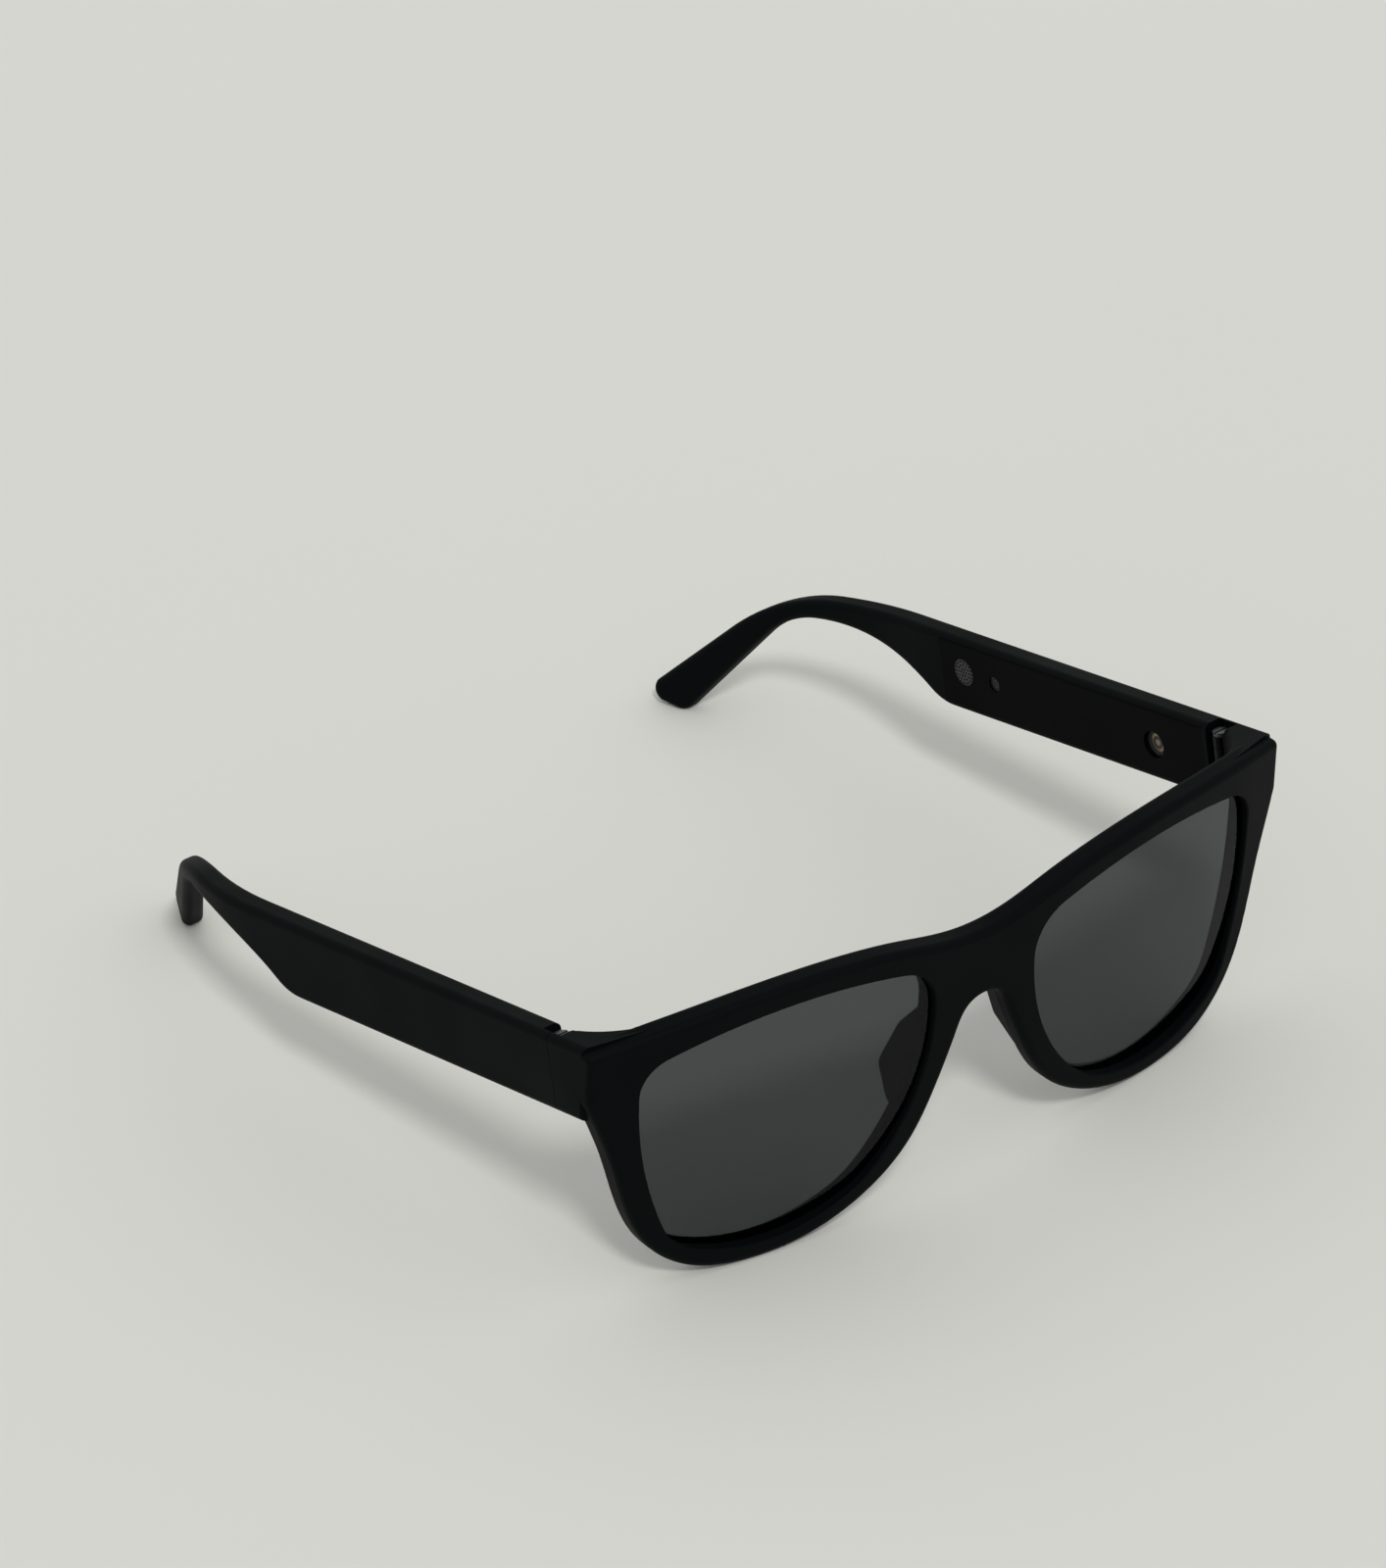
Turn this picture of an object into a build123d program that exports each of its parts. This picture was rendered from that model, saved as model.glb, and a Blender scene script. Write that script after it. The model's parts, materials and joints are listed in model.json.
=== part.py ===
from build123d import *
import math
import os

# Smart glasses standing open on their lower rims and ear tips.
# Row frame: +Z up, the front faces -Y, the temples run back along +Y. Left and right are the wearer's,
# so +X is left. The origin is the bottom centre of the whole object's box.
# Everything is built in a stand frame (X = 0 in the plane of symmetry, Y = 0 at the bridge, Z = 0 on the
# table) and moved to the row frame at the end. All lengths are millimetres, all angles degrees.

# ---------------------------------------------------------------- driving dimensions
HALF_WIDTH = 72.2          # plane of symmetry to the outer face of the temple at the hinge
FRONT_HEIGHT = 47.6        # lower rim to the outer top corner
SIDE_LOW_Z = 38.5          # where the upright side turns into the rim
FRONT_T = 4.4              # thickness of the front moulding
FRONT_EDGE_R = 1.2         # rounding of its outer edges
WRAP_R = 247.0             # plan radius of the front's face
FRONT_LEAN = 1.8           # the front's top leans forward
LEAN_SHIFT = 1.5           # puts the leaning bridge back at Y = 0
TEMPLE_T = 4.6             # thickness of a temple at the hinge
TEMPLE_H = 13.5            # height of the flat part of a temple
HINGE_Y = 21.5             # hinge axis behind the bridge
HINGE_Z = 46.9             # top face of the temple over the hinge axis
OUTER_X = 3.0              # hinge axis to the temple's outer face
INNER_X = OUTER_X - TEMPLE_T
HINGE_X = HALF_WIDTH - OUTER_X
FAR = 200.0                # longer than the object, for blocks that only trim
DEEP = 40.0                # deeper than the wrapped front, for outlines cut through it

# temple, measured from the hinge axis: X outwards, Y back along the temple, Z down from its top face
STRAIGHT_Y = 78.3          # where the plan starts to wrap inwards
WRAP_OUT_R = 62.0
WRAP_IN_R = 65.0
WRAP_ANGLE = 28.0
TAIL_LENGTH = 32.0
KINK_Y = 71.0              # where the lower edge kinks up into the ear hook
KINK_ANGLE = 38.0
KINK_R = 46.0
KINK_SOFT_R = 10.0
EDGE_R = 1.3               # rounding of the long outer edges
TOP_BEND_Y = 95.5          # where the top edge starts to bend down
TOP_BEND_R = 31.0
TOP_BEND_ANGLE = 38.0
TOP_TAIL = 21.0
LOW_BEND_R = 13.0
LOW_BEND_ANGLE = 45.0
LOW_TAIL = 21.9
TIP_R = 2.3

# lens opening in the front's plane: four corners and, after each, a point on the long arc to the next one
LENS_CORNERS = [(11.0, 43.2), (63.5, 42.3), (57.8, 7.8), (24.0, 7.4)]
LENS_CORNER_R = [8.0, 6.5, 9.0, 14.0]
LENS_ARC_MIDS = [(37.0, 47.0), (63.3, 28.0), (42.5, 3.0), (13.8, 21.0)]
LENS_MID_Z = 26.0
LENS_RECESS = 0.9          # front face of the lens behind the front's face
LENS_T = 1.8
LENS_LIP = 0.9             # how far the lens goes into the rim's groove

# nose pad: a fin behind the nose side of the rim, as distances from a point on the rim's back face
PAD_AT = (8.8, 4.2, 28.0)
PAD_CORNERS = [(-2.0, 12.0), (5.0, 0.0), (6.2, -7.5), (-2.0, -17.5)]
PAD_CORNER_R = 2.6
PAD_T = 3.6
PAD_EDGE_R = 1.4
PAD_TILT = 23.0            # its top leans towards the bridge
PAD_SPLAY = 8.0            # its back edge opens outwards

# temple box: walls, cavity and inner cover
WALL = 0.9
EDGE_WALL = 1.4
COVER_T = 1.0
COVER_LEDGE = 0.6
COVER_GAP = 0.05
CAVITY_Y0 = 12.0
CAVITY_Y1 = 68.5
COVER_Y0 = 3.2
CAVITY_X0 = INNER_X + COVER_T
CAVITY_X1 = OUTER_X - WALL
CAVITY_Z0 = -TEMPLE_H + EDGE_WALL
CAVITY_Z1 = -EDGE_WALL
COVER_Y1 = CAVITY_Y1 + COVER_LEDGE
COVER_Z0 = CAVITY_Z0 - COVER_LEDGE
COVER_Z1 = CAVITY_Z1 + COVER_LEDGE

# what shows on the inner cover: charging socket, microphone port and speaker outlet (Y, Z and radius)
SOCKET_Y, SOCKET_Z, SOCKET_R = 15.6, -7.0, 2.4
PORT_Y, PORT_Z, PORT_R = 55.6, -6.2, 1.3
SPEAKER_Y, SPEAKER_Z, GRILLE_R = 63.6, -6.0, 2.4
GRILLE_STEP = 0.5          # width of the step that the grille rests on
GRILLE_T = 0.4
GRILLE_SUNK = 0.1          # grille face below the cover's face
GRILLE_HOLE_R = 0.2
GRILLE_RINGS = 3           # rings of 6, 12 and 18 holes round the middle one
GRILLE_PITCH = 0.66
MESH_T = 0.2
MESH_SUNK = 0.3
MESH_HOLE_R = 0.16
MESH_PITCH = 0.45

# hinge
KNUCKLES = 5
KNUCKLE_H = 1.9
KNUCKLE_GAP = 0.06
KNUCKLE_R = 1.5
KNUCKLE_TOP = -1.7
KNUCKLE_LOW = KNUCKLE_TOP - KNUCKLES * KNUCKLE_H - (KNUCKLES - 1) * KNUCKLE_GAP
SCREW_R = 0.62
SCREW_HEAD_R = 1.4
SCREW_HEAD_H = 0.7
SLOT_W = 0.4
SLOT_DEPTH = 0.35
HINGE_CLEAR = 0.04
LEAF_T = 1.0
LEAF_ROOM = 1.65           # leaf plates stop this far from the axis, clear of the other leaf's knuckles
FRONT_LEAF_Y = -7.0        # how far the front leaf reaches into the front
TEMPLE_LEAF_Y = 10.5
LEAF_SCREW_AT = [(4.8, -4.2), (8.3, -9.0)]
LEAF_SCREW_R = 0.5
LEAF_SCREW_HEAD_R = 1.0
LEAF_SCREW_HEAD_T = 0.4
LEAF_SCREW_END = 1.9
PIVOT_ROOM = 2.15          # plastic stops this far from the axis, inside the outer skin
SKIN_X = 1.75              # the outer skin runs up to the seam outside this
SEAM_GAP = 0.05
END_PIECE_SUNK = 2.0       # the end piece's root stops this far behind the front's face
WEB_END_Y = -2.9           # the web between end piece and front: its end beside the hinge, middle and foot
WEB_MID = (-5.4, -7.9)
WEB_FOOT = (-11.0, -10.9)
WEB_EDGE_R = 0.8
WEB_CLEAR = 0.8            # the web keeps this far outside the lens

# electronics in each temple
CARRIER_R, CARRIER_T = 3.2, 0.8
PIN_R, PIN_RING_IN, PIN_RING_OUT, PIN_T = 0.55, 1.15, 1.6, 0.5
MAGNET_IN_R, MAGNET_T = 1.9, 1.2
BOARD_Y0, BOARD_Y1 = 19.6, 33.0
BOARD_Z0, BOARD_Z1 = -9.6, -2.4
BOARD_X, BOARD_T = 0.2, 0.8
CHIPS = [(21.0, 25.0, -6.6, -3.0, 0.6), (26.4, 31.6, -8.6, -3.6, 0.7), (21.4, 24.2, -8.9, -7.4, 0.4)]
POST_R = 0.8
POSTS_AT = [(20.8, -3.4), (31.8, -3.4), (20.8, -8.8), (31.8, -8.8)]
FLEX_Y0, FLEX_Y1, FLEX_Z0, FLEX_Z1, FLEX_T = 13.0, 66.0, -7.6, -4.6, 0.2
CELL_Y0, CELL_Y1, CELL_Z0, CELL_Z1, CELL_GAP = 34.2, 52.4, -11.6, -2.9, 0.1
CELL_EDGE_R = 0.7
MIC_HALF, MIC_T = 2.1, 1.1
GASKET_OUT_R, GASKET_IN_R, GASKET_T = 4.2, 2.7, 0.5
DRIVER_R, DRIVER_BACK_R, DRIVER_RIM_T = 4.4, 3.2, 1.0
AERIAL_Y0, AERIAL_Y1, AERIAL_Z0, AERIAL_Z1 = 36.0, 58.0, -2.6, -1.5
PIPE_Y, PIPE_R = 29.5, 0.5
CORE_INSET = 1.3           # ear core below the hook's top edge
CORE_H, CORE_T = 1.2, 0.8
CORE_Y0 = 73.0
CORE_TOP_TAIL = 13.0
CORE_TAIL = 30.0           # more than the side outline leaves

# button under the right temple
MID_X = (OUTER_X + INNER_X) / 2
BUTTON_Y = 24.0
BUTTON_L, BUTTON_W = 8.0, 1.6
BUTTON_PROUD = 0.4
BUTTON_TRAVEL = 0.3
BUTTON_CLEAR = 0.05
FLANGE_L, FLANGE_W, FLANGE_T = 9.4, 2.3, 0.4
PLUNGER_R, PLUNGER_CLEAR, PLUNGER_TOP = 0.5, 0.05, -10.4
SWITCH_L, SWITCH_W, SWITCH_Z0, SWITCH_BORE_TOP = 4.0, 1.8, -11.2, -10.0


# ---------------------------------------------------------------- small shapes
def box_between(x0, x1, y0, y1, z0, z1):
    """A box given by its two ends along each axis."""
    return Pos((x0 + x1) / 2, (y0 + y1) / 2, (z0 + z1) / 2) * Box(abs(x1 - x0), abs(y1 - y0), abs(z1 - z0))


def disc_x(y, z, radius, x0, x1):
    """A cylinder lying along X."""
    return Pos((x0 + x1) / 2, y, z) * Rot(0, 90, 0) * Cylinder(radius, abs(x1 - x0))


def disc_z(x, y, radius, z0, z1):
    """A cylinder standing along Z."""
    return Pos(x, y, (z0 + z1) / 2) * Cylinder(radius, abs(z1 - z0))


def stadium_z(x, y, length, width, z0, z1):
    """A round-ended bar, long in Y, standing along Z."""
    outline = Plane.XY * Pos(x, y) * Rot(0, 0, 90) * SlotOverall(length, width)
    return Pos(0, 0, z0) * extrude(outline, amount=z1 - z0)


# ---------------------------------------------------------------- outlines
def side_profile():
    """The temple seen from its side, in the plane (Y, Z): flat bar, kinked lower edge, ear hook."""
    rise_way = (math.cos(math.radians(KINK_ANGLE)), math.sin(math.radians(KINK_ANGLE)))
    with BuildSketch(Plane.YZ) as sketch:
        with BuildLine():
            top = Line((SEAM_GAP, 0), (TOP_BEND_Y, 0))
            top_bend = JernArc(top @ 1, (1, 0), TOP_BEND_R, -TOP_BEND_ANGLE)
            top_tail = PolarLine(top_bend @ 1, TOP_TAIL, -TOP_BEND_ANGLE)
            low = Line((SEAM_GAP, -TEMPLE_H), (KINK_Y, -TEMPLE_H))
            rise = JernArc(low @ 1, rise_way, KINK_R, -KINK_ANGLE)
            low_bend = JernArc(rise @ 1, (1, 0), LOW_BEND_R, -LOW_BEND_ANGLE)
            low_tail = PolarLine(low_bend @ 1, LOW_TAIL, -LOW_BEND_ANGLE)
            Line(top_tail @ 1, low_tail @ 1)
            Line(top @ 0, low @ 0)
        make_face()
        fillet(sketch.vertices().sort_by(Axis.X)[-2:], TIP_R)
        kink = sketch.vertices().sort_by_distance((KINK_Y, -TEMPLE_H))[0]
        fillet(kink, KINK_SOFT_R)
    return sketch.sketch


def plan_profile(outer_x, inner_x, outer_r, inner_r, tail):
    """The temple seen from above, in the plane (X, Y): straight, then wrapped inwards."""
    with BuildSketch(Plane.XY) as sketch:
        with BuildLine():
            outer = Line((outer_x, SEAM_GAP), (outer_x, STRAIGHT_Y))
            outer_bend = JernArc(outer @ 1, (0, 1), outer_r, WRAP_ANGLE)
            outer_tail = PolarLine(outer_bend @ 1, tail, 90 + WRAP_ANGLE)
            inner = Line((inner_x, SEAM_GAP), (inner_x, STRAIGHT_Y))
            inner_bend = JernArc(inner @ 1, (0, 1), inner_r, WRAP_ANGLE)
            inner_tail = PolarLine(inner_bend @ 1, tail, 90 + WRAP_ANGLE)
            Line(outer_tail @ 1, inner_tail @ 1)
            Line(outer @ 0, inner @ 0)
        make_face()
    return sketch.sketch


def front_outline():
    """The front's outer outline in its own plane (X, Z): one half drawn, then mirrored."""
    with BuildSketch(Plane.XZ) as sketch:
        with BuildLine():
            top = Spline([(0, 46.7), (16, 49.2), (36, 50.9), (54, 49.8), (HALF_WIDTH, FRONT_HEIGHT)],
                         tangents=[(1, 0), (1, -0.13)])
            side = Line(top @ 1, (HALF_WIDTH, SIDE_LOW_Z))
            Spline([side @ 1, (68.3, 27.0), (65.9, 18.0), (61.7, 8.4), (53.6, 1.9), (44.0, 0), (33.0, 0.9),
                    (22.5, 4.9), (14.3, 11.6), (9.3, 20.2), (5.4, 29.4), (0, 34.4)],
                   tangents=[(-0.3, -1), (-1, 0)])
            mirror(about=Plane.YZ)
        make_face()
        tops = [v for v in sketch.vertices() if abs(abs(v.X) - HALF_WIDTH) < 0.01 and v.Y > FRONT_HEIGHT - 1]
        fillet(tops, EDGE_R)
    return sketch.sketch


def lens_outline(grow=0.0):
    """The left lens opening in the front's plane (X, Z), grown outwards by the given amount."""
    count = len(LENS_CORNERS)
    ends = LENS_CORNERS[1:] + LENS_CORNERS[:1]
    arcs = [ThreePointArc(start, mid, end) for start, mid, end in zip(LENS_CORNERS, LENS_ARC_MIDS, ends)]

    def outwards(arc, at):
        way = arc % at
        return Vector(-way.Y, way.X)

    corners = []
    for i, corner in enumerate(LENS_CORNERS):
        before, after = outwards(arcs[i - 1], 1), outwards(arcs[i], 0)
        corners.append(Vector(*corner) + (before + after) * (grow / (1 + before.dot(after))))
    with BuildSketch(Plane.XZ) as sketch:
        with BuildLine():
            for i, arc in enumerate(arcs):
                middle = arc @ 0.5 + outwards(arc, 0.5) * grow
                ThreePointArc(corners[i], middle, corners[(i + 1) % count])
        make_face()
        for corner, radius in zip(corners, LENS_CORNER_R):
            fillet(sketch.vertices().sort_by_distance(corner)[0], radius + grow)
    return sketch.sketch


# ---------------------------------------------------------------- placing
def stand_pitch():
    """The slope of the temples at which the ear tips touch the table when the rims do."""
    tip = side_profile().edges().filter_by(GeomType.CIRCLE).sort_by(Axis.Z)[0].arc_center
    reach = math.hypot(tip.Y, tip.Z)
    return math.degrees(math.asin((HINGE_Z - TIP_R) / reach) - math.atan2(-tip.Z, tip.Y))


PITCH = stand_pitch()
FRONT_PLACE = Pos(0, LEAN_SHIFT, 0) * Rot(FRONT_LEAN, 0, 0)
TEMPLE_PLACE = Pos(HINGE_X, HINGE_Y, HINGE_Z) * Rot(-PITCH, 0, 0)


# ---------------------------------------------------------------- front
def wrap_shell(front, back):
    """The space between two depths behind the front's wrapped face, in the front's own plane."""
    return Pos(0, WRAP_R, 0) * (Cylinder(WRAP_R - front, FAR) - Cylinder(WRAP_R - back, FAR))


def lens():
    """The left lens: the opening grown into the rim's groove, between two spheres."""
    face_r = WRAP_R - LENS_RECESS
    ball = Pos(0, WRAP_R, LENS_MID_Z) * (Sphere(face_r) - Sphere(face_r - LENS_T))
    return (extrude(lens_outline(LENS_LIP), amount=-DEEP) & ball).solid()


def front_plate():
    """The moulding that holds both lenses, with rounded outer edges."""
    plate = (extrude(front_outline(), amount=-DEEP) & wrap_shell(0, FRONT_T)).solid()

    def runs_through(edge):
        box = edge.bounding_box()
        return box.max.X - box.min.X < 0.5 and box.max.Z - box.min.Z < 0.5

    return fillet([edge for edge in plate.edges() if not runs_through(edge)], FRONT_EDGE_R).solid()


def corner_web(to_front):
    """The web that blends the stub into the front's back face, in the temple's frame, clear of the lens."""
    root_x = INNER_X + EDGE_R
    with BuildSketch(Plane.XY) as sketch:
        with BuildLine():
            hollow = ThreePointArc((INNER_X, WEB_END_Y), WEB_MID, WEB_FOOT)
            Polyline(hollow @ 1, (WEB_FOOT[0], -HINGE_Y), (root_x, -HINGE_Y), (root_x, WEB_END_Y), hollow @ 0)
        make_face()
    web = extrude(sketch.sketch, amount=-TEMPLE_H)
    web = fillet(web.edges().filter_by(GeomType.CIRCLE), WEB_EDGE_R)
    return web - to_front * extrude(lens_outline(LENS_LIP + WEB_CLEAR), amount=-DEEP)


def end_piece():
    """The stub behind the front's corner that carries the hinge, in the temple's frame."""
    stub = box_between(INNER_X, OUTER_X, -HINGE_Y, -SEAM_GAP, -TEMPLE_H, 0)
    stub = fillet(stub.edges().filter_by(Axis.Y), EDGE_R)
    pocket = box_between(INNER_X - 1, SKIN_X, -PIVOT_ROOM, 0, -TEMPLE_H - 1, 1)
    to_front = TEMPLE_PLACE.inverse() * FRONT_PLACE
    behind = to_front * Pos(0, WRAP_R, 0) * Cylinder(WRAP_R - END_PIECE_SUNK, FAR * 2)
    stub = (stub - pocket + corner_web(to_front)) & behind
    return stub.solid()


def both_sides(piece):
    """A piece and its mirror image, as one part."""
    return Part() + piece + mirror(piece, about=Plane.YZ)


def front_frame():
    """The whole front moulding with its end pieces, lens openings and the slots for the hinge leaves."""
    frame = FRONT_PLACE * front_plate() + both_sides(TEMPLE_PLACE * end_piece())
    opening = extrude(lens_outline(), amount=-DEEP) & wrap_shell(-1, FRONT_T + 1)
    frame = frame - both_sides(FRONT_PLACE * opening)
    frame = frame - both_sides(FRONT_PLACE * lens())
    return (frame - both_sides(TEMPLE_PLACE * front_leaf())).solid()


def nose_pad():
    """The left nose pad: a rounded fin that stands on the back face of the rim."""
    with BuildSketch(Plane.YZ) as sketch:
        with BuildLine():
            Polyline(PAD_CORNERS, close=True)
        make_face()
        fillet(sketch.vertices(), PAD_CORNER_R)
    fin = extrude(sketch.sketch, amount=PAD_T / 2, both=True)
    fin = fillet(fin.edges().filter_by_position(Axis.X, -PAD_T, PAD_T), PAD_EDGE_R)
    behind = Pos(0, WRAP_R, 0) * Cylinder(WRAP_R - FRONT_T, FAR)
    return FRONT_PLACE * (Pos(*PAD_AT) * Rot(0, -PAD_TILT, 0) * Rot(0, 0, -PAD_SPLAY) * fin & behind).solid()


# ---------------------------------------------------------------- hinge
def knuckle_span(number):
    """The top and bottom of one knuckle, counted from the top."""
    top = KNUCKLE_TOP - number * (KNUCKLE_H + KNUCKLE_GAP)
    return top - KNUCKLE_H, top


def leaf(plate_y0, plate_y1, numbers, bore):
    """A hinge leaf: a plate on one side of the axis with some of the knuckles."""
    near = plate_y0 if abs(plate_y0) < abs(plate_y1) else plate_y1
    body = box_between(-LEAF_T / 2, LEAF_T / 2, plate_y0, plate_y1, KNUCKLE_LOW, KNUCKLE_TOP)
    for number in numbers:
        low, top = knuckle_span(number)
        body += box_between(-LEAF_T / 2, LEAF_T / 2, 0, near, low, top)
        body += disc_z(0, 0, KNUCKLE_R, low, top)
    return (body - disc_z(0, 0, bore, KNUCKLE_LOW - 1, KNUCKLE_TOP + 1)).solid()


def front_leaf():
    """The leaf moulded into the end piece; the screw is fast in its three knuckles."""
    return leaf(FRONT_LEAF_Y, -LEAF_ROOM, range(0, KNUCKLES, 2), SCREW_R)


def leaf_screws():
    """The two countersunk screws that hold the temple leaf in the temple."""
    screws = Part()
    for y, z in LEAF_SCREW_AT:
        head = disc_x(y, z, LEAF_SCREW_HEAD_R, -LEAF_T / 2, -LEAF_T / 2 + LEAF_SCREW_HEAD_T)
        screws += head + disc_x(y, z, LEAF_SCREW_R, -LEAF_T / 2 + LEAF_SCREW_HEAD_T, LEAF_SCREW_END)
    return screws


def temple_leaf():
    """The leaf in the temple, which turns on the screw."""
    plain = leaf(LEAF_ROOM, TEMPLE_LEAF_Y, range(1, KNUCKLES, 2), SCREW_R + HINGE_CLEAR)
    return (plain - leaf_screws()).solid()


def hinge_screw():
    """The slotted pivot screw, whose head shows in the joint from above."""
    head = disc_z(0, 0, SCREW_HEAD_R, KNUCKLE_TOP, KNUCKLE_TOP + SCREW_HEAD_H)
    top = KNUCKLE_TOP + SCREW_HEAD_H
    slot = box_between(-SCREW_HEAD_R, SCREW_HEAD_R, -SLOT_W / 2, SLOT_W / 2, top - SLOT_DEPTH, top)
    return (head + disc_z(0, 0, SCREW_R, KNUCKLE_LOW, KNUCKLE_TOP) - slot).solid()


# ---------------------------------------------------------------- temple shell and cover
def temple_blank():
    """The whole outer shape of a temple, with its long edges rounded."""
    plan = plan_profile(OUTER_X, INNER_X, WRAP_OUT_R, WRAP_IN_R, TAIL_LENGTH)
    blank = (extrude(side_profile(), amount=FAR, both=True) & extrude(plan, amount=FAR, both=True)).solid()

    def is_long(edge):
        box = edge.bounding_box()
        at_seam = box.max.Y < SEAM_GAP + 0.5
        upright = box.max.X - box.min.X < 0.01 and box.max.Y - box.min.Y < 0.01
        across = box.max.Z - box.min.Z < 0.3 and box.max.Y - box.min.Y < 3.5 and box.max.X - box.min.X > 3
        return not (at_seam or upright or across)

    return fillet([edge for edge in blank.edges() if is_long(edge)], EDGE_R).solid()


def ear_core():
    """The bendable metal strip moulded inside the ear hook, a little below its top edge."""
    mean_r = (WRAP_OUT_R + WRAP_IN_R) / 2
    half = CORE_T / 2
    plan = plan_profile(MID_X + half, MID_X - half, mean_r + half, mean_r - half, CORE_TAIL)
    with BuildSketch(Plane.YZ) as sketch:
        with BuildLine():
            edges = []
            for depth in (CORE_INSET, CORE_INSET + CORE_H):
                run = Line((CORE_Y0, -depth), (TOP_BEND_Y, -depth))
                bend = JernArc(run @ 1, (1, 0), TOP_BEND_R - depth, -TOP_BEND_ANGLE)
                edges.append((run @ 0, PolarLine(bend @ 1, CORE_TOP_TAIL, -TOP_BEND_ANGLE) @ 1))
            Line(edges[0][0], edges[1][0])
            Line(edges[0][1], edges[1][1])
        make_face()
    return (extrude(sketch.sketch, amount=FAR, both=True) & extrude(plan, amount=FAR, both=True)).solid()


def temple_shell(blank, with_button):
    """The temple's outer shell: cavity, cover seat, hinge block, board posts, light pipe and button holes."""
    shell = blank - box_between(CAVITY_X0, CAVITY_X1, CAVITY_Y0, CAVITY_Y1, CAVITY_Z0, CAVITY_Z1)
    shell -= box_between(INNER_X - 1, CAVITY_X0, COVER_Y0 - COVER_GAP, COVER_Y1 + COVER_GAP,
                         COVER_Z0 - COVER_GAP, COVER_Z1 + COVER_GAP)
    shell -= box_between(INNER_X - 1, SKIN_X, 0, PIVOT_ROOM, -TEMPLE_H - 1, 1)
    shell -= box_between(-LEAF_T / 2, LEAF_T / 2, LEAF_ROOM, TEMPLE_LEAF_Y, KNUCKLE_LOW, KNUCKLE_TOP)
    shell -= box_between(CAVITY_X0, LEAF_T / 2, COVER_Y0, TEMPLE_LEAF_Y, KNUCKLE_LOW, KNUCKLE_TOP)
    shell -= leaf_screws()
    for y, z in POSTS_AT:
        shell += disc_x(y, z, POST_R, BOARD_X + BOARD_T, CAVITY_X1)
    shell -= disc_z(MID_X, PIPE_Y, PIPE_R, -TEMPLE_H - 1, CAVITY_Z0)
    shell -= ear_core()
    if with_button:
        length, width = BUTTON_L + 2 * BUTTON_CLEAR, BUTTON_W + 2 * BUTTON_CLEAR
        shell -= stadium_z(MID_X, BUTTON_Y, length, width, -TEMPLE_H - 1, CAVITY_Z0)
    return shell.solid()


def temple_cover(blank):
    """The inner cover with its charging socket, microphone port and stepped speaker outlet."""
    cover = blank & box_between(INNER_X - 1, CAVITY_X0, COVER_Y0, COVER_Y1, COVER_Z0, COVER_Z1)
    cover -= disc_x(SOCKET_Y, SOCKET_Z, SOCKET_R, INNER_X - 1, CAVITY_X0)
    cover -= disc_x(PORT_Y, PORT_Z, PORT_R, INNER_X - 1, CAVITY_X0)
    cover -= disc_x(SPEAKER_Y, SPEAKER_Z, GRILLE_R, INNER_X - 1, INNER_X + GRILLE_SUNK + GRILLE_T)
    cover -= disc_x(SPEAKER_Y, SPEAKER_Z, GRILLE_R - GRILLE_STEP, INNER_X, CAVITY_X0)
    return cover.solid()


def pierced_disc(y, z, radius, x0, x1, hole_r, pitch, rings):
    """A disc across X with a hole in the middle and rings of 6, 12, 18 ... holes round it."""
    disc = disc_x(y, z, radius, x0, x1)
    holes = Part() + disc_x(y, z, hole_r, x0, x1)
    for ring in range(1, rings + 1):
        for step in range(6 * ring):
            turn = 2 * math.pi * step / (6 * ring)
            out = ring * pitch
            holes += disc_x(y + out * math.cos(turn), z + out * math.sin(turn), hole_r, x0, x1)
    return (disc - holes).solid()


def speaker_grille():
    """The perforated disc in the speaker outlet."""
    face = INNER_X + GRILLE_SUNK
    return pierced_disc(SPEAKER_Y, SPEAKER_Z, GRILLE_R, face, face + GRILLE_T, GRILLE_HOLE_R, GRILLE_PITCH,
                        GRILLE_RINGS)


def mic_mesh():
    """The fine mesh in the microphone port."""
    face = INNER_X + MESH_SUNK
    return pierced_disc(PORT_Y, PORT_Z, PORT_R, face, face + MESH_T, MESH_HOLE_R, MESH_PITCH, 2)


# ---------------------------------------------------------------- electronics
def charge_pins():
    """The centre contact and the ring contact, flush in the socket's floor."""
    x0, x1 = CAVITY_X0, CAVITY_X0 + PIN_T
    ring = disc_x(SOCKET_Y, SOCKET_Z, PIN_RING_OUT, x0, x1) - disc_x(SOCKET_Y, SOCKET_Z, PIN_RING_IN, x0, x1)
    return ring + disc_x(SOCKET_Y, SOCKET_Z, PIN_R, x0, x1)


def charge_carrier():
    """The moulded floor of the charging socket, which holds the contacts."""
    return (disc_x(SOCKET_Y, SOCKET_Z, CARRIER_R, CAVITY_X0, CAVITY_X0 + CARRIER_T) - charge_pins()).solid()


def charge_magnet():
    """The ring magnet behind the contacts that holds the charging plug."""
    x0 = CAVITY_X0 + CARRIER_T
    x1 = x0 + MAGNET_T
    disc = disc_x(SOCKET_Y, SOCKET_Z, CARRIER_R, x0, x1)
    return (disc - disc_x(SOCKET_Y, SOCKET_Z, MAGNET_IN_R, x0, x1)).solid()


def circuit_board():
    """The circuit board with its chips, which stand on its inner face."""
    board = box_between(BOARD_X, BOARD_X + BOARD_T, BOARD_Y0, BOARD_Y1, BOARD_Z0, BOARD_Z1)
    for y0, y1, z0, z1, height in CHIPS:
        board += box_between(BOARD_X - height, BOARD_X, y0, y1, z0, z1)
    return board.solid()


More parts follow.
